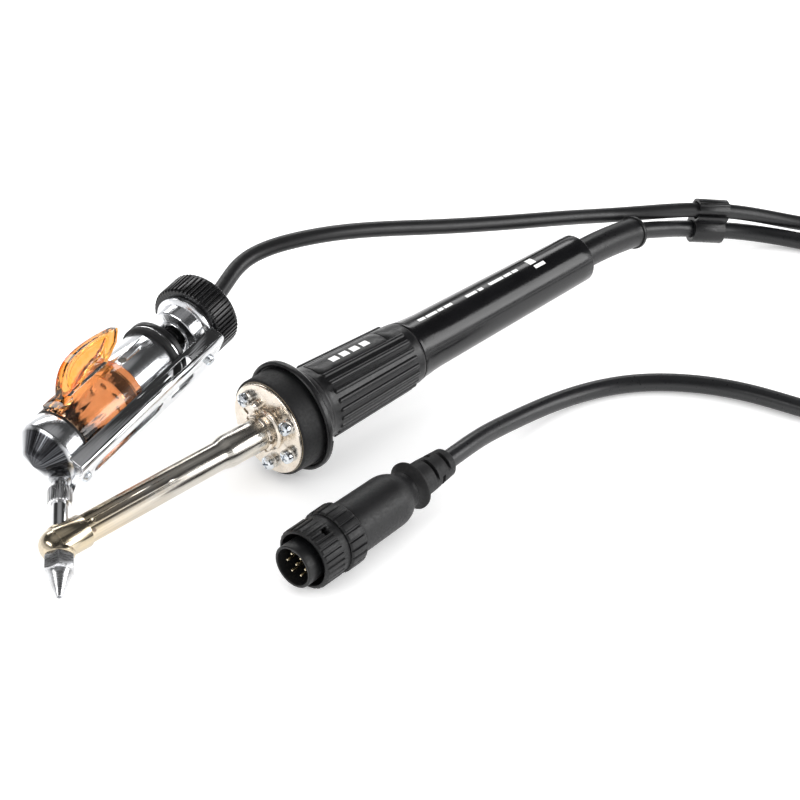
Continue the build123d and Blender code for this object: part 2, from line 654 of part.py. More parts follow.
def bracket():
    """Folded bright channel under the collector, slotted to shed heat."""
    inner_half = CHANNEL_HALF - CHANNEL_SHEET
    low, high = CHANNEL_SPAN
    length = high - low
    rim = -7.5
    depth = CHANNEL_DEPTH + rim
    middle = rim - depth / 2
    outer = Pos(middle, 0, 0) * RectangleRounded(depth, 2 * CHANNEL_HALF, 1.6)
    outer += Pos(-8.6, 0, 0) * Rectangle(2.2, 2 * CHANNEL_HALF)
    void = Pos(middle + CHANNEL_SHEET, 0, 0) * RectangleRounded(depth, 2 * inner_half, 0.95)
    void += Pos(-6.9, 0, 0) * Rectangle(4.2, 2 * inner_half)
    profile = outer - void - Pos(-6, 0, 0) * Rectangle(3.1, 30)
    channel = Pos(0, 0, low) * extrude(profile, length)
    web_x = -CHANNEL_DEPTH
    long_slot = Pos(web_x, 0, 16) * Rot(0, 90, 0) * extrude(SlotOverall(32, 5.0), 2, both=True)
    rear_slot = Pos(web_x, 0, 42) * Rot(0, 90, 0) * extrude(SlotOverall(11, 5.0), 2, both=True)
    channel -= long_slot
    channel -= rear_slot
    across_walls = Pos(-9.9, 0, 41) * Rot(90, 0, 0) * Rot(0, 0, 90)
    side_slot = across_walls * extrude(SlotOverall(10, 2.4), 12, both=True)
    channel -= side_slot
    for place in SCREW_PLACES:
        channel -= Pos(web_x, 0, place) * Rot(0, 90, 0) * Cylinder(1.0, 4)
    return channel


def bracket_screws():
    """Two countersunk-look screws that hold the channel to the cap and the housing."""
    screws = []
    for place in SCREW_PLACES:
        head = turned((0, 0), (1.7, 0), (1.7, 0.35), (1.3, 0.8), (0, 0.8))
        head -= Pos(0, 0, 0.8) * Box(3.6, 0.45, 0.8)
        shank = rod(0.9, -2.0, 0)
        screws.append(Pos(-CHANNEL_DEPTH, 0, place) * Rot(0, -90, 0) * (head + shank))
    return group(screws)


# ---------------------------------------------------------------- lead and hose
def cable():
    return bent_bar(cable_path(), CABLE_R)


def vacuum_hose():
    return bent_bar(hose_path(), HOSE_R) - bent_bar(hose_path(), HOSE_BORE_R)


def hose_cuff():
    """Moulded sleeve on the hose's end that pushes on a vacuum nipple."""
    place = Plane(origin=HOSE_CUFF, z_dir=CUFF_DIRECTION).location
    far = CUFF_LENGTH - CUFF_SOCKET
    body = turned((CUFF_BORE_R, 0.05), (HOSE_R + LOOSE, 0.05), (HOSE_R + LOOSE, -CUFF_SOCKET),
                  (CUFF_R - 0.4, -CUFF_SOCKET),
                  (CUFF_R, -CUFF_SOCKET + 0.5), (CUFF_R, far - 0.5), (CUFF_R - 0.4, far),
                  (CUFF_BORE_R, far))
    return place * body


def clip_frame():
    """Frame at the clip: local z along the lead, local x up towards the hose."""
    along = Vector(5.9, -3.6, -1.3).normalized()
    up = (Vector(0, 0, 1) - along * along.Z).normalized()
    return Plane(origin=(195.8, -8.4, 7.6), x_dir=up, z_dir=along).location


def cable_clip():
    """Two-way clip: a closed loop round the lead and an open hook for the hose."""
    wide = 11.0
    rise = 7.3
    outer = 4.0
    loop = Circle(4.5) - Circle(CABLE_R + 0.2)
    hook = Pos(rise, 0, 0) * (Circle(outer) - Circle(HOSE_R + 0.6))
    mouth = Pos(rise, 0, 0) * make_face(Polyline((0, 0), (-1.2, 8), (3.6, 8), close=True))
    hook -= mouth
    hook -= Circle(CABLE_R + 0.2)
    lip = Pos(rise + 3.2, 1.9, 0) * Circle(0.75)
    profile = loop + hook + lip
    return Pos(0, 0, -wide / 2) * extrude(profile, wide)


# ---------------------------------------------------------------- plug
def plug_shell():
    """Round nose of the plug with its bayonet neck."""
    shell = turned((SHELL_R - SHELL_WALL, 0.2), (SHELL_R - SHELL_WALL + 0.2, 0), (SHELL_R - 0.25, 0),
                   (SHELL_R, 0.25),
                   (SHELL_R, NOSE_LENGTH), (SHELL_R - 0.03, NOSE_LENGTH), (SHELL_R - 0.03, 16.0),
                   (SHELL_R - SHELL_WALL, 16.0))
    key = block((SHELL_R - SHELL_WALL - 0.8, SHELL_R - 0.3), (-0.8, 0.8), (0.6, 12))
    return shell + key


def plug_insert():
    """Insulating disc that carries the pins."""
    radius = SHELL_R - SHELL_WALL - GAP
    disc = rod(radius, 7.5, 12.0)
    disc -= block((SHELL_R - SHELL_WALL - 0.9, SHELL_R), (-0.9, 0.9), (0, 12.5))
    for place in pin_places():
        disc -= Pos(*place, 0) * rod(PIN_R + 0.01, 0, 20)
    return disc


def pin_places():
    """One pin in the middle and six round it."""
    ring = [(PIN_CIRCLE_R * cos(radians(60 * turn + 30)),
             PIN_CIRCLE_R * sin(radians(60 * turn + 30))) for turn in range(6)]
    return [(0, 0)] + ring


def plug_pins():
    pin = turned((0, 1.4), (0.28, 1.5), (PIN_R, 2.1), (PIN_R, 14.5), (0, 14.5))
    return group([Pos(*place, 0) * pin for place in pin_places()])


def coupling_ring():
    """Turning lock ring with fine ribs, a plain band and an indicator window."""
    low, high = RING_SPAN
    ring = ribbed(RING_R, RING_R - 0.45, 30, 0.5, low, high - 2.6)
    ring &= turned((0, low), (RING_R - 0.7, low), (RING_R + 0.1, low + 0.8), (RING_R + 0.1, high),
                   (0, high))
    ring += rod(RING_R - 0.45, high - 2.7, high)
    ring -= turned((0, 0), (RING_R - 1.2, 0), (RING_R - 1.2, high - 3.4), (SHELL_R + SLIP, high - 2.8),
                   (SHELL_R + SLIP, 20), (0, 20))
    window = at(RING_R, 22, high - 4.4) * Box(3.4, 2.4, 2.0)
    return ring - window


def plug_rear_ring():
    """Coarsely ribbed clamping ring fixed to the backshell."""
    low = RING_SPAN[1] + 0.1
    ring = ribbed(REAR_RING_R, REAR_RING_R - 0.6, 22, 0.62, low, REAR_RING_END)
    ring &= turned((0, low), (REAR_RING_R - 0.5, low), (REAR_RING_R + 0.1, low + 0.6),
                   (REAR_RING_R + 0.1, REAR_RING_END - 0.7),
                   (REAR_RING_R - 0.6, REAR_RING_END), (0, REAR_RING_END))
    ring -= rod(SHELL_R + GAP, 0, 16.1)
    return ring - rod(7.4, 16.0, 30)


def plug_backshell():
    """Smooth body of the plug, closing to a narrow waist."""
    shoulder = BACKSHELL_END
    wall = 1.5
    half = Polyline((7.35, 16.1), (7.35, REAR_RING_END + 0.05),
                    (BACKSHELL_R + 0.05, REAR_RING_END + 0.05))
    side = Line(half @ 1, (BACKSHELL_R - 0.15, shoulder - 2.5))
    round_off = Bezier(side @ 1, (BACKSHELL_R - 0.2, shoulder + 2.2), (WAIST_R + 0.3, shoulder + 3.0),
                       (WAIST_R, shoulder + 6.0))
    close = Polyline(round_off @ 1, (3.6, shoulder + 6.0), (3.6, shoulder + 1),
                     (7.35 - wall, shoulder - 3.5), (7.35 - wall, 16.1), (7.35, 16.1))
    return revolve(Plane.XZ * make_face([*half.edges(), side, round_off, *close.edges()]), Axis.Z)


def plug_cord_grip():
    """Two-part saddle that holds the lead inside the backshell."""
    return tube(3.5, CABLE_R + LOOSE, 44.0, 47.4)


def plug_strain_relief():
    """Rubber bell and slotted sleeve round the lead."""
    start = BACKSHELL_END + 6.05
    bell = Bezier((WAIST_R - 0.1, start), (WAIST_R + 0.2, start + 1.3), (7.0, start + 1.6),
                  (7.5, start + 2.2))
    rest = Polyline(bell @ 1, (7.4, start + 2.9), (6.0, start + 3.1), (WAIST_R, start + 3.6), (5.3, 56),
                    (4.5, PLUG_END - 0.4), (4.2, PLUG_END),
                    (CABLE_R + LOOSE, PLUG_END), (CABLE_R + LOOSE, start), (WAIST_R - 0.1, start))
    body = revolve(Plane.XZ * make_face([bell, *rest.edges()]), Axis.Z)
    for row, place in enumerate((56.5, 59.4, 62.3)):
        for turn in (0, 180):
            slot = at(5.0, turn + 90 * row + 35, place) * Box(3.0, 9.0, 1.3)
            body -= slot - rod(3.6, 50, 70)
    return body


# ---------------------------------------------------------------- writing the parts
PLACES = {
    HANDLE: (front_plate, heat_shield, plate_screws, barrel_clamp, barrel, heating_element,
             temperature_sensor, heater_wires, front_collar, hand_guard, grip_sleeve, handle_tube,
             terminal_block, terminal_screws, lead_wires, cable_clamp),
    NOZZLE: (nozzle, suction_tube, clamp_nut),
    COLLECTOR: (front_cap, cap_seal, glass_tube, baffle_plate, filter_sleeve, filter_pad, heat_guard,
                rear_seal, seal_washer, seal_plunger, drive_pin, rear_housing, knurled_knob, hose_nipple,
                bracket, bracket_screws),
    PLUG: (plug_shell, plug_insert, plug_pins, coupling_ring, plug_rear_ring, plug_backshell,
           plug_cord_grip, plug_strain_relief),
    Location(): (heater_head, rear_boot, cable, vacuum_hose, hose_cuff),
    clip_frame(): (cable_clip,),
}

os.makedirs("parts", exist_ok=True)
for place, makers in PLACES.items():
    for maker in makers:
        export_step(FOOTPRINT * place * maker(), f"parts/{maker.__name__}.step")
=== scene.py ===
import json
import math

import bmesh
import bpy
from mathutils import Matrix, Vector


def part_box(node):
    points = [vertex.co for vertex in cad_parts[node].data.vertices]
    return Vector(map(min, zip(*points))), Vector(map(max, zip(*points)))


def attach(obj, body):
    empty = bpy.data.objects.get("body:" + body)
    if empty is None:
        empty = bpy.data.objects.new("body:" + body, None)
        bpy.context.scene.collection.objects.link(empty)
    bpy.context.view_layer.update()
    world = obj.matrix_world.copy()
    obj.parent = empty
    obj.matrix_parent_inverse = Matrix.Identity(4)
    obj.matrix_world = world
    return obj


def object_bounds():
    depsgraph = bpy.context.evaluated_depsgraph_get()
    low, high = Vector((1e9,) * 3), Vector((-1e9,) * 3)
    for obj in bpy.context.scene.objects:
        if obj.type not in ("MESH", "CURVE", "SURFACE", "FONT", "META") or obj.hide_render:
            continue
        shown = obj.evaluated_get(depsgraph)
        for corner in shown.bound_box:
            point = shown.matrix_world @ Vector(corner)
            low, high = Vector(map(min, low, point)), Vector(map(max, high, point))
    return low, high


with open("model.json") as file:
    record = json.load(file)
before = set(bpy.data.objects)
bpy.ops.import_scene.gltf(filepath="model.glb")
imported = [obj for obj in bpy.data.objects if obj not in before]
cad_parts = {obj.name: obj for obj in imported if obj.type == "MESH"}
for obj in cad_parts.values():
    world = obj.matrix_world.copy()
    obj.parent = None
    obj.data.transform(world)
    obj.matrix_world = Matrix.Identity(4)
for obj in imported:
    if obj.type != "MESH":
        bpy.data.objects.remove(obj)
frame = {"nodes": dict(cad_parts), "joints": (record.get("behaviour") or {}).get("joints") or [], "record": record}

CAD_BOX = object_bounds()
MM = 0.001


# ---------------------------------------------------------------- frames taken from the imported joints
def joint(name):
    found = [entry for entry in frame["joints"] if entry["name"] == name][0]
    return Vector(found["pos_m"]), Vector(found["axis"]).normalized()


def placed(origin, along, across):
    """Matrix with local Z along a part's axis and local X across it."""
    side = along.cross(across).normalized()
    across = side.cross(along).normalized()
    rotation = Matrix((across, side, along)).transposed()
    return Matrix.Translation(origin) @ rotation.to_4x4()


FORWARD = Vector((1, 0, 0))
KNOB_POINT, COLLECTOR_AXIS = joint("knob_turn")
NOZZLE_POINT, NOZZLE_AXIS = joint("nozzle_turn")
RING_POINT, PLUG_AXIS = joint("lock_ring_turn")
SIDE = COLLECTOR_AXIS.cross(NOZZLE_AXIS).normalized()
TOOL_UP = SIDE.cross(FORWARD).normalized()
PLATE_LOW, PLATE_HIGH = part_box("front_plate")
PLATE_CENTRE = Vector((PLATE_LOW.x, (PLATE_LOW.y + PLATE_HIGH.y) / 2, (PLATE_LOW.z + PLATE_HIGH.z) / 2))
KNOB_JOINT_HEIGHT = 66 * MM
RING_JOINT_HEIGHT = 9 * MM
HANDLE = placed(PLATE_CENTRE, FORWARD, TOOL_UP)
NOZZLE = placed(NOZZLE_POINT, NOZZLE_AXIS, SIDE)
COLLECTOR_ORIGIN = KNOB_POINT - COLLECTOR_AXIS * KNOB_JOINT_HEIGHT
COLLECTOR = placed(COLLECTOR_ORIGIN, COLLECTOR_AXIS, SIDE.cross(COLLECTOR_AXIS))
PLUG = placed(RING_POINT - PLUG_AXIS * RING_JOINT_HEIGHT, PLUG_AXIS, Vector((0, 0, 1)))


# ---------------------------------------------------------------- material building
class Look:
    """A node material built up from a principled shader."""

    def __init__(self, name, base, rough, metal=0.0):
        self.material = bpy.data.materials.new(name)
        self.material.use_nodes = True
        self.tree = self.material.node_tree
        self.shader = self.tree.nodes["Principled BSDF"]
        self.base = (*base, 1.0)
        self.set("Base Color", self.base)
        self.set("Roughness", rough)
        self.set("Metallic", metal)

    def set(self, socket, value):
        self.shader.inputs[socket].default_value = value

    def join(self, output, socket):
        self.tree.links.new(output, self.shader.inputs[socket])

    def node(self, kind, **inputs):
        made = self.tree.nodes.new(kind)
        for key, value in inputs.items():
            target = made.inputs[key.replace("_", " ")]
            if isinstance(value, bpy.types.NodeSocket):
                self.tree.links.new(value, target)
            else:
                target.default_value = value
        return made

    def place(self, frame_matrix=None, stretch=(1, 1, 1)):
        """Object coordinates in millimetres, in a part's own frame, then stretched."""
        point = self.node("ShaderNodeTexCoord").outputs["Object"]
        if frame_matrix is not None:
            back = frame_matrix.inverted()
            mapped = self.node("ShaderNodeMapping", Vector=point, Location=back.to_translation(),
                               Rotation=back.to_euler())
            point = mapped.outputs["Vector"]
        scale = [axis / MM for axis in stretch]
        return self.node("ShaderNodeMapping", Vector=point, Scale=scale).outputs["Vector"]

    def noise(self, vector, scale, detail=4.0, roughness=0.55):
        made = self.node("ShaderNodeTexNoise", Vector=vector, Scale=scale, Detail=detail, Roughness=roughness)
        return made.outputs["Fac"]

    def span(self, value, low, high, start=0.3, end=0.7):
        made = self.node("ShaderNodeMapRange", Value=value, From_Min=start, From_Max=end, To_Min=low,
                         To_Max=high)
        return made.outputs["Result"]

    def mix(self, factor, first, second):
        """Colour between first and second, each a socket or an RGB triple, by a factor socket."""
        made = self.tree.nodes.new("ShaderNodeMix")
        made.data_type = "RGBA"
        self.tree.links.new(factor, made.inputs[0])
        for colour, slot in ((first, made.inputs[6]), (second, made.inputs[7])):
            if isinstance(colour, bpy.types.NodeSocket):
                self.tree.links.new(colour, slot)
            else:
                slot.default_value = (*colour, 1.0)
        return made.outputs[2]

    def bump(self, *layers):
        """Stack of (height socket, depth in millimetres) bumps."""
        normal = None
        for height, depth in layers:
            made = self.node("ShaderNodeBump", Height=height, Distance=depth * MM, Strength=1.0)
            if normal is not None:
                self.tree.links.new(normal, made.inputs["Normal"])
            normal = made.outputs["Normal"]
        self.join(normal, "Normal")
        return self

    def edge_mask(self, radius):
        """Bright where the surface turns sharply, within radius millimetres of an edge."""
        rounded = self.tree.nodes.new("ShaderNodeBevel")
        rounded.samples = 3
        rounded.inputs["Radius"].default_value = radius * MM
        plain = self.tree.nodes.new("ShaderNodeNewGeometry")
        dot = self.tree.nodes.new("ShaderNodeVectorMath")
        dot.operation = "DOT_PRODUCT"
        self.tree.links.new(rounded.outputs["Normal"], dot.inputs[0])
        self.tree.links.new(plain.outputs["Normal"], dot.inputs[1])
        return self.span(dot.outputs["Value"], 1.0, 0.0, 0.80, 0.985)


def moulded_plastic(name, base, rough, grain=0.006, spread=0.12, worn=0.25, place=None, stretch=(1, 1, 1),
                    pitch=7.0):
    """Moulded plastic or rubber: fine grain, patchy sheen, faint scuffs and polished edges."""
    look = Look(name, base, rough)
    near = look.place()
    patches = look.noise(near, 0.12, 3)
    grain_noise = look.noise(near, pitch, 3)
    scuffs = look.noise(look.place(place, stretch), 1.2, 6, 0.7)
    lighter = tuple(min(1, channel * 1.7 + 0.001) for channel in base)
    tone = look.mix(look.span(patches, 0.0, 0.6), base, lighter)
    edge = look.edge_mask(0.25)
    worn_tone = tuple(min(1, channel + 0.035) for channel in base)
    strength = look.node("ShaderNodeMath", Value=edge)
    strength.operation = "MULTIPLY"
    strength.inputs[1].default_value = worn
    look.join(look.mix(strength.outputs[0], tone, worn_tone), "Base Color")
    look.join(look.span(scuffs, rough - spread, rough + spread, 0.35, 0.68), "Roughness")
    look.bump((grain_noise, grain), (scuffs, grain * 0.4))
    look.set("Specular IOR Level", 0.4)
    return look


def turned_metal(name, base, rough, place, tint=None, spread=0.08, groove=0.0016,
                 along=(0.25, 0.25, 9.0), stain=0.25):
    """Turned or drawn metal: tooling lines in the part's frame, patchy polish and staining."""
    look = Look(name, base, rough, 1.0)
    lines = look.noise(look.place(place, along), 1.0, 5, 0.6)
    cloud = look.noise(look.place(), 0.22, 5, 0.6)
    specks = look.noise(look.place(), 2.3, 4, 0.7)
    dark = tint or tuple(channel * 0.62 for channel in base)
    toned = look.mix(look.span(cloud, 0.0, stain, 0.38, 0.7), base, dark)
    look.join(look.mix(look.span(specks, 0.0, 0.35, 0.62, 0.74), toned, dark), "Base Color")
    look.join(look.span(lines, rough - spread, rough + spread), "Roughness")
    look.bump((lines, groove), (specks, 0.0006))
    return look


# ---------------------------------------------------------------- the object's materials
BLACK = (0.0035, 0.0035, 0.004)


def heat_tinted_barrel():
    """Nickelled steel that has run straw and brown towards the hot end."""
    look = turned_metal("heat_tinted_steel", (0.60, 0.565, 0.51), 0.2, HANDLE, (0.33, 0.27, 0.20),
                        0.07, 0.0008, (3.0, 3.0, 0.10), 0.5)
    height = look.node("ShaderNodeSeparateXYZ", Vector=look.place(HANDLE)).outputs["Z"]
    wander = look.noise(look.place(), 0.16, 4)
    shift = look.node("ShaderNodeMath", Value=height)
    shift.operation = "ADD"
    look.tree.links.new(look.span(wander, -9.0, 9.0), shift.inputs[1])
    ramp = look.node("ShaderNodeValToRGB", Fac=look.span(shift.outputs[0], 0.0, 1.0, -84.0, 0.0))
    stops = ((0.0, (0.60, 0.52, 0.40)), (0.12, (0.72, 0.61, 0.43)), (0.26, (0.66, 0.57, 0.44)),
             (0.5, (0.62, 0.58, 0.52)), (0.78, (0.70, 0.67, 0.62)), (1.0, (0.80, 0.75, 0.66)))
    elements = ramp.color_ramp.elements
    while len(elements) < len(stops):
        elements.new(0.5)
    for element, (where, tone) in zip(elements, stops):
        element.position = where
        element.color = (*tone, 1.0)
    streaks = look.noise(look.place(HANDLE, (1.6, 1.6, 0.05)), 1.0, 5)
    streaked = look.mix(look.span(streaks, 0.0, 0.45, 0.45, 0.8), ramp.outputs["Color"], (0.30, 0.27, 0.22))
    look.join(streaked, "Base Color")
    return look


def nickel_plate():
    """Warm nickel plating, stained by heat and rubbed bright along its edges."""
    look = turned_metal("nickel_plate", (0.86, 0.79, 0.70), 0.24, HANDLE, (0.60, 0.50, 0.38),
                        0.08, 0.0008, (0.5, 0.5, 0.5), 0.4)
    edge = look.edge_mask(0.2)
    before = look.shader.inputs["Base Color"].links[0].from_socket
    look.join(look.mix(edge, before, (0.93, 0.90, 0.84)), "Base Color")
    return look


SLEEVE_REACH = 10.3       # radius in mm beyond which the amber is the thumb tab, not the sleeve


def clear_amber():
    """Clear amber plastic, deeper where light passes through more of it."""
    look = Look("amber", (1.0, 0.72, 0.40), 0.03)
    look.set("Transmission Weight", 1.0)
    look.set("IOR", 1.49)
    local = look.place(COLLECTOR)
    flow = look.noise(look.place(COLLECTOR, (0.2, 0.2, 0.05)), 1.0, 3)
    sleeve = look.mix(look.span(flow, 0.0, 1.0), (0.98, 0.62, 0.40), (0.96, 0.55, 0.32))
    tab = look.mix(look.span(flow, 0.0, 1.0), (0.92, 0.40, 0.06), (0.85, 0.31, 0.08))
    flat = look.node("ShaderNodeVectorMath")
    flat.operation = "MULTIPLY"
    look.tree.links.new(local, flat.inputs[0])
    flat.inputs[1].default_value = (1.0, 1.0, 0.0)
    reach = look.node("ShaderNodeVectorMath")
    reach.operation = "LENGTH"
    look.tree.links.new(flat.outputs[0], reach.inputs[0])
    depth = look.span(reach.outputs["Value"], 0.0, 1.0, SLEEVE_REACH, SLEEVE_REACH + 0.6)
    look.join(look.mix(depth, sleeve, tab), "Base Color")
    haze = look.noise(look.place(), 1.4, 5, 0.7)
    look.join(look.span(haze, 0.02, 0.07), "Roughness")
    look.bump((look.noise(look.place(), 0.35, 2), 0.003))
    return look


def clear_glass():
    """Thin glass tube, faintly smoked with flux."""
    look = Look("glass", (0.97, 0.985, 0.98), 0.03)
    look.set("Transmission Weight", 1.0)
    look.set("IOR", 1.25)
    haze = look.noise(look.place(COLLECTOR, (0.3, 0.3, 0.12)), 1.0, 4)
    look.join(look.mix(look.span(haze, 0.0, 0.7), (0.99, 0.99, 0.98), (0.93, 0.90, 0.84)), "Base Color")
    look.join(look.span(haze, 0.02, 0.12), "Roughness")
    return look


CONE_DARK_REFLECTION_ANGLE = math.radians(98)      # side of the cap's cone where the painted dark reflection is strongest, the side facing the camera


def satin_chrome():
    """Turned satin chrome with painted reflection: darker colour streaks that run out from the axis, and a painted
    dark reflection on the side of the cap's cone that faces the camera.
    """
    look = turned_metal("chrome", (0.85, 0.86, 0.88), 0.2, COLLECTOR, (0.55, 0.56, 0.58), 0.05, 0.0006,
                        (0.1, 0.1, 14.0), 0.2)
    parts = look.node("ShaderNodeSeparateXYZ", Vector=look.place(COLLECTOR))
    angle = look.tree.nodes.new("ShaderNodeMath")
    angle.operation = "ARCTAN2"
    look.tree.links.new(parts.outputs["Y"], angle.inputs[0])
    look.tree.links.new(parts.outputs["X"], angle.inputs[1])
    spokes = look.node("ShaderNodeCombineXYZ", X=angle.outputs[0])
    streaks = look.noise(spokes.outputs[0], 16.0, 4, 0.6)
    before = look.shader.inputs["Base Color"].links[0].from_socket
    # painted reflection: radial noise streaks darken the colour in place of the streaky highlights of turned metal
    streaked = look.mix(look.span(streaks, 0.0, 0.5, 0.5, 0.75), before, (0.40, 0.41, 0.43))
    # painted dark reflection: near black with pale streaks, masked to the cap's cone and to the side facing the
    # camera
    cone_dark_reflection = look.mix(look.span(streaks, 0.0, 1.0, 0.46, 0.70), (0.012, 0.012, 0.014), (0.30, 0.31, 0.33))
    cone = look.span(parts.outputs["Z"], 1.0, 0.0, -7.4, -6.6)
    facing = look.node("ShaderNodeMath", Value=angle.outputs[0])
    facing.operation = "SUBTRACT"
    facing.inputs[1].default_value = CONE_DARK_REFLECTION_ANGLE
    bearing = look.node("ShaderNodeMath", Value=facing.outputs[0])
    bearing.operation = "COSINE"
    dark_reflection_amount = look.node("ShaderNodeMath", Value=cone)
    dark_reflection_amount.operation = "MULTIPLY"
    look.tree.links.new(look.span(bearing.outputs[0], 0.0, 1.0, 0.02, 0.55), dark_reflection_amount.inputs[1])
    look.join(look.mix(dark_reflection_amount.outputs[0], streaked, cone_dark_reflection), "Base Color")
    return look


def rolled_sheet():
    """Bright folded sheet, rolled slightly wavy along its length."""
    look = turned_metal("bright_sheet", (0.86, 0.87, 0.88), 0.1, COLLECTOR, (0.6, 0.6, 0.62), 0.05, 0.0008,
                        (2.0, 2.0, 0.1))
    before = look.shader.inputs["Normal"].links[0].from_socket
    waves = look.noise(look.place(COLLECTOR, (0.55, 0.55, 0.03)), 1.0, 2)
    wavy = look.node("ShaderNodeBump", Height=waves, Distance=0.55 * MM, Normal=before)
    look.join(wavy.outputs["Normal"], "Normal")
    return look


def soft_matte(name, base, rough, grain_scale, grain):
    look = Look(name, base, rough)
    fibre = look.noise(look.place(), grain_scale, 6, 0.7)
    cloud = look.noise(look.place(), 0.3, 3)
    darker = tuple(channel * 0.72 for channel in base)
    look.join(look.mix(look.span(cloud, 0.0, 0.8), base, darker), "Base Color")
    look.join(look.span(fibre, rough - 0.1, rough), "Roughness")
    return look.bump((fibre, grain))


def lead_jacket(name, base, rough):
    """Extruded cable jacket: very fine grain, soft handling marks, thin dust."""
    look = moulded_plastic(name, base, rough, 0.004, 0.10, 0.0)
    dust = look.noise(look.place(), 0.8, 6, 0.75)
    before = look.shader.inputs["Base Color"].links[0].from_socket
    look.join(look.mix(look.span(dust, 0.0, 0.25, 0.55, 0.75), before, (0.02, 0.02, 0.021)), "Base Color")
    look.set("Coat Weight", 0.15)
    look.set("Coat Roughness", 0.35)
    return look


LOOKS = {
    "nickel_plate": nickel_plate(),
    "mica": soft_matte("mica", (0.45, 0.40, 0.32), 0.7, 1.5, 0.01),
    "zinc_screw": turned_metal("zinc_screw", (0.80, 0.83, 0.86), 0.2, HANDLE, (0.45, 0.50, 0.56),
                               0.08, 0.002, (1.0, 1.0, 3.0), 0.5),
    "heat_tinted_steel": heat_tinted_barrel(),
    "ceramic": soft_matte("ceramic", (0.82, 0.80, 0.74), 0.6, 2.0, 0.004),
    "steel": turned_metal("steel", (0.80, 0.80, 0.81), 0.14, NOZZLE, None, 0.06, 0.002),
    "wire_sleeve": soft_matte("wire_sleeve", (0.70, 0.62, 0.46), 0.65, 3.0, 0.01),
    "black_rubber": moulded_plastic("black_rubber", (0.004, 0.004, 0.0045), 0.62, 0.008, 0.1, 0.12),
    "black_plastic": moulded_plastic("black_plastic", BLACK, 0.36, 0.005, 0.1, 0.35),
    "gloss_handle": moulded_plastic("gloss_handle", BLACK, 0.2, 0.002, 0.06, 0.3, HANDLE,
                                    (0.6, 0.6, 0.06)),
    "pale_plastic": soft_matte("pale_plastic", (0.72, 0.70, 0.62), 0.5, 2.0, 0.004),
    "brass": turned_metal("brass", (0.78, 0.60, 0.28), 0.25, COLLECTOR),
    "tip_plating": turned_metal("tip_plating", (0.74, 0.75, 0.77), 0.27, NOZZLE, (0.30, 0.29, 0.28),
                                0.10, 0.003, (0.4, 0.4, 6.0), 0.5),
    "chrome": satin_chrome(),
    "glass": clear_glass(),
    "felt": soft_matte("felt", (0.22, 0.21, 0.19), 0.9, 5.0, 0.12),
    "amber": clear_amber(),
    "bright_sheet": rolled_sheet(),
    "cable_jacket": lead_jacket("cable_jacket", (0.005, 0.0052, 0.006), 0.36),
    "hose_rubber": lead_jacket("hose_rubber", (0.005, 0.005, 0.0055), 0.42),
    "knob_plastic": moulded_plastic("knob_plastic", BLACK, 0.22, 0.004, 0.06, 0.5),
    "plug_plastic": moulded_plastic("plug_plastic", BLACK, 0.5, 0.03, 0.1, 0.3, None, (1, 1, 1), 3.2),
    "gold_pin": turned_metal("gold_pin", (0.86, 0.76, 0.56), 0.18, PLUG, (0.6, 0.5, 0.32), 0.06, 0.001),
}


def dress_cad_nodes():
    """Gives every CAD node its slot's material, welded and slightly broken edges and smooth shading."""
    slot_of = {entry["node"]: entry["material_slot"] for entry in frame["record"]["subparts"]}
    slot_of["knurled_knob"] = "knob_plastic"
    for name, node in frame["nodes"].items():
        node.data.materials.clear()
        node.data.materials.append(LOOKS[slot_of[name]].material)
        for polygon in node.data.polygons:
            polygon.use_smooth = True
        weld = node.modifiers.new("weld", "WELD")
        weld.merge_threshold = 0.002 * MM
        bevel = node.modifiers.new("edges", "BEVEL")
        bevel.width = EDGE_BREAK.get(name, 0.10) * MM
        bevel.segments = 2
        bevel.limit_method = "ANGLE"
        bevel.angle_limit = math.radians(32)
        bevel.harden_normals = True
        bevel.use_clamp_overlap = True


EDGE_BREAK = {"plug_pins": 0.03, "terminal_screws": 0.03, "bracket_screws": 0.05, "cap_seal": 0.05,
              "seal_washer": 0.04, "clamp_nut": 0.05, "front_plate": 0.08, "heat_guard": 0.12, "bracket": 0.1}
dress_cad_nodes()


# ---------------------------------------------------------------- printed marks
def patch(name, place, radius_at, bars, look):
    """Thin printed bars that follow a round surface: (height, angle, length, width) in mm and degrees."""
    mesh = bpy.data.meshes.new(name)
    build = bmesh.new()
    for height, angle, length, width in bars:
        columns = 10
        rows = 6
        grid = []
        for row in range(rows + 1):
            across = (row / rows - 0.5) * width
            line = []
            for column in range(columns + 1):
                along = (column / columns - 0.5) * length
                h = height + along
                radius = radius_at(h)
                turn = math.radians(angle) + across / radius
                spot = Vector((radius * math.cos(turn), radius * math.sin(turn), h)) * MM
                line.append(build.verts.new(place @ spot))
            grid.append(line)
        for row in range(rows):
            for column in range(columns):
                build.faces.new((grid[row][column], grid[row][column + 1], grid[row + 1][column + 1],
                                 grid[row + 1][column]))
    build.normal_update()
    build.to_mesh(mesh)
    build.free()
    piece = bpy.data.objects.new(name, mesh)
    bpy.context.scene.collection.objects.link(piece)
    mesh.materials.append(look.material)
    thick = piece.modifiers.new("ink", "SOLIDIFY")
    thick.thickness = 0.02 * MM
    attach(piece, "tool")
    return piece


def print_ink():
    """White pad-printed ink, worn thin in small spots."""
    look = Look("print_ink", (0.86, 0.86, 0.85), 0.5)
    wear = look.noise(look.place(), 3.0, 6, 0.75)
    inked = look.mix(look.span(wear, 0.0, 0.8, 0.60, 0.70), (0.88, 0.88, 0.87), (0.12, 0.12, 0.12))
    look.join(inked, "Base Color")
    look.join(look.span(wear, 0.4, 0.6), "Roughness")
    return look


def grip_radius(height):
    front, rear = 17.6, 53.4
    return 11.6 + (10.4 - 11.6) * (height - front) / (rear - front) + 0.03


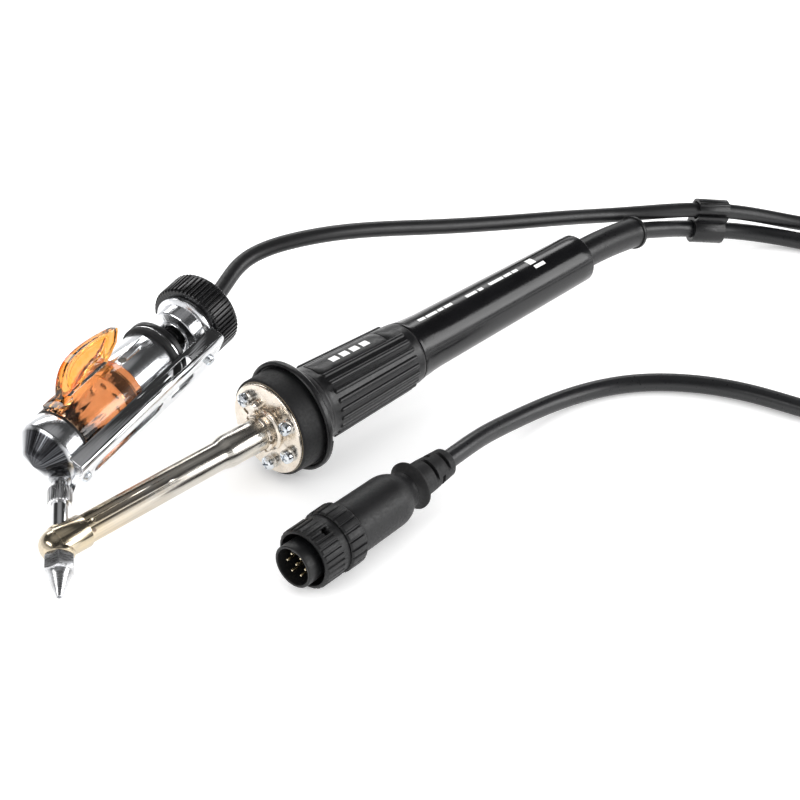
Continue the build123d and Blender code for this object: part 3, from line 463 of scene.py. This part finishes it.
def handle_radius(height):
    profile = ((57.3, 10.0), (59.6, 9.65), (63.5, 9.32), (67.0, 9.1), (137.1, 8.1))
    for (low, start), (high, end) in zip(profile, profile[1:]):
        if height <= high:
            return start + (end - start) * (height - low) / (high - low) + 0.03
    return profile[-1][1]


def word_bars(start, angle, lengths, width, gap):
    """A row of plain bars standing in for a line of small print."""
    bars = []
    for length in lengths:
        bars.append((start + length / 2, angle, length, width))
        start += length + gap
    return bars


INK = print_ink()
patch("grip_mark", HANDLE, grip_radius, word_bars(26.8, 60, (2.9, 2.9, 2.9, 2.9), 2.5, 1.3), INK)
patch("handle_print", HANDLE, handle_radius,
      word_bars(63.0, 66, (3.0, 4.6, 2.2, 3.4), 1.15, 0.6) + word_bars(84.0, 68, (4.8, 2.0), 1.15, 0.9)
      + word_bars(94.6, 68, (6.4, 3.2, 2.4), 1.15, 0.6)
      + [(114.6, 64, 2.8, 2.8), (116.0, 84, 4.6, 1.3)], INK)


# ---------------------------------------------------------------- small rivet through the head's joint
RIVET_PLACE = (-67.7, 130)      # height and angle on the barrel, mm and degrees
RIVET_R = 0.6
BARREL_R = 4.35


def head_rivet():
    """Flattened rivet head with a dimple, just behind the head's sleeve."""
    height, angle = RIVET_PLACE
    turn = math.radians(angle)
    outward = Vector((math.cos(turn), math.sin(turn), 0))
    seat = placed(outward * BARREL_R * MM + Vector((0, 0, height)) * MM, outward, Vector((0, 0, 1)))
    outline = ((RIVET_R, -0.15), (RIVET_R, 0.05), (RIVET_R * 0.8, 0.14), (RIVET_R * 0.45, 0.12), (0.0, 0.0))
    steps = 24
    mesh = bpy.data.meshes.new("head_rivet")
    build = bmesh.new()
    rings = []
    for radius, lift in outline[:-1]:
        ring = []
        for step in range(steps):
            around = 2 * math.pi * step / steps
            spot = Vector((radius * math.cos(around), radius * math.sin(around), lift)) * MM
            ring.append(build.verts.new(HANDLE @ seat @ spot))
        rings.append(ring)
    centre = build.verts.new(HANDLE @ seat @ Vector((0, 0, outline[-1][1])))
    for inner, outer in zip(rings[1:], rings):
        for step in range(steps):
            after = (step + 1) % steps
            build.faces.new((outer[step], outer[after], inner[after], inner[step]))
    for step in range(steps):
        build.faces.new((rings[-1][step], rings[-1][(step + 1) % steps], centre))
    build.faces.new(rings[0])
    bmesh.ops.recalc_face_normals(build, faces=build.faces)
    build.to_mesh(mesh)
    build.free()
    piece = bpy.data.objects.new("head_rivet", mesh)
    bpy.context.scene.collection.objects.link(piece)
    mesh.materials.append(turned_metal("rivet", (0.26, 0.20, 0.15), 0.34, HANDLE).material)
    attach(piece, "tool")


head_rivet()


# ---------------------------------------------------------------- stage, light and camera
FLOOR_HALF = 3.0                # metres


def stage_floor():
    mesh = bpy.data.meshes.new("floor")
    half = FLOOR_HALF
    corners = [(-half, -half, 0), (half, -half, 0), (half, half, 0), (-half, half, 0)]
    mesh.from_pydata(corners, [], [(0, 1, 2, 3)])
    floor = bpy.data.objects.new("floor", mesh)
    bpy.context.scene.collection.objects.link(floor)
    floor.location.z = CAD_BOX[0][2] - 0.05 * MM
    look = Look("floor", (0.95, 0.95, 0.95), 0.7)
    look.set("Specular IOR Level", 0.1)
    look.set("Emission Color", (1.0, 1.0, 1.0, 1.0))
    look.set("Emission Strength", 0.22)
    floor.data.materials.append(look.material)


def soft_box(name, target, azimuth, elevation, distance, size, power):
    light = bpy.data.lights.new(name, "AREA")
    light.shape = "RECTANGLE"
    light.size, light.size_y = size
    light.energy = power
    lamp = bpy.data.objects.new(name, light)
    bpy.context.scene.collection.objects.link(lamp)
    turn, lift = math.radians(azimuth), math.radians(elevation)
    back = Vector((math.sin(turn) * math.cos(lift), -math.cos(turn) * math.cos(lift), math.sin(lift)))
    lamp.location = target + back * distance
    lamp.rotation_euler = (-back).to_track_quat("-Z", "Y").to_euler()


def studio_world():
    """White to the camera and to soft light; reflections see pale walls with dark gaps between them."""
    world = bpy.data.worlds.new("studio")
    bpy.context.scene.world = world
    world.use_nodes = True
    tree = world.node_tree
    background = tree.nodes["Background"]
    direction = tree.nodes.new("ShaderNodeTexCoord").outputs["Generated"]
    parts = tree.nodes.new("ShaderNodeSeparateXYZ")
    tree.links.new(direction, parts.inputs[0])
    ramp = tree.nodes.new("ShaderNodeValToRGB")
    tree.links.new(parts.outputs["Z"], ramp.inputs["Fac"])
    stops = ((0.0, 0.95), (0.26, 0.85), (0.40, 0.06), (0.62, 0.03), (0.84, 0.03), (0.93, 0.22), (1.0, 0.3))
    elements = ramp.color_ramp.elements
    while len(elements) < len(stops):
        elements.new(0.5)
    for element, (where, tone) in zip(elements, stops):
        element.position = where
        element.color = (tone, tone, tone * 1.01, 1.0)
    path = tree.nodes.new("ShaderNodeLightPath")
    mix = tree.nodes.new("ShaderNodeMix")
    mix.data_type = "RGBA"
    opaque = tree.nodes.new("ShaderNodeMath")
    opaque.operation = "SUBTRACT"
    tree.links.new(path.outputs["Is Glossy Ray"], opaque.inputs[0])
    tree.links.new(path.outputs["Is Transmission Ray"], opaque.inputs[1])
    tree.links.new(opaque.outputs[0], mix.inputs[0])
    mix.inputs[6].default_value = (1.0, 1.0, 1.0, 1.0)
    tree.links.new(ramp.outputs["Color"], mix.inputs[7])
    tree.links.new(mix.outputs[2], background.inputs["Color"])
    background.inputs["Strength"].default_value = 1.0


VIEW_AZIMUTH = -45.08
VIEW_ELEVATION = 34.6
VIEW_DISTANCE = 676.5 * MM
VIEW_SHIFT = Vector((31.1, -24.3, 7.0)) * MM      # middle of the view, from the heater plate's centre


def camera():
    turn, lift = math.radians(VIEW_AZIMUTH), math.radians(VIEW_ELEVATION)
    back = Vector((math.sin(turn) * math.cos(lift), -math.cos(turn) * math.cos(lift), math.sin(lift)))
    data = bpy.data.cameras.new("camera")
    data.lens = 103.5
    data.sensor_width = 36.0
    data.clip_start = 0.01
    view = bpy.data.objects.new("camera", data)
    bpy.context.scene.collection.objects.link(view)
    view.location = PLATE_CENTRE + VIEW_SHIFT + back * VIEW_DISTANCE
    view.rotation_euler = (-back).to_track_quat("-Z", "Y").to_euler()
    bpy.context.scene.camera = view


stage_floor()
studio_world()
AIM = PLATE_CENTRE.copy()
soft_box("key", AIM, 38, 20, 0.75, (0.62, 0.34), 3.4)
soft_box("back", AIM, 150, 34, 0.8, (0.9, 0.2), 2.4)
soft_box("side", AIM, -95, 36, 0.8, (0.5, 0.12), 1.3)
camera()
bpy.context.scene.view_settings.view_transform = "Standard"
